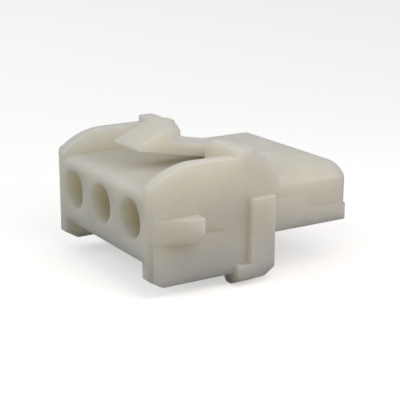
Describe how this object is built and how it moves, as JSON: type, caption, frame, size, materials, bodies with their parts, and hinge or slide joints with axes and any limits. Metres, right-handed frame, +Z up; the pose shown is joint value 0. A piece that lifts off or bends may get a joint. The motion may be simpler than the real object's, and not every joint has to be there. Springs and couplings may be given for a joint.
{
  "type": "wire to board connector housing",
  "caption": "Panel mounting connector housing with a row of round contact cavities, side plates with locking ramps, a split flange, a spring latch on top and a mating nose.",
  "frame": {"origin": "on the middle cavity's axis, in the plane of the flange's panel face", "axes": "+X along the row of cavities, +Y from the wire entry to the mating nose, +Z up through the spring latch"},
  "size_m": [0.0238, 0.0237, 0.0155],
  "materials": {
    "nylon": "satin natural nylon"
  },
  "bodies": {
    "root": {"housing": "nylon"}
  },
  "joints": []
}
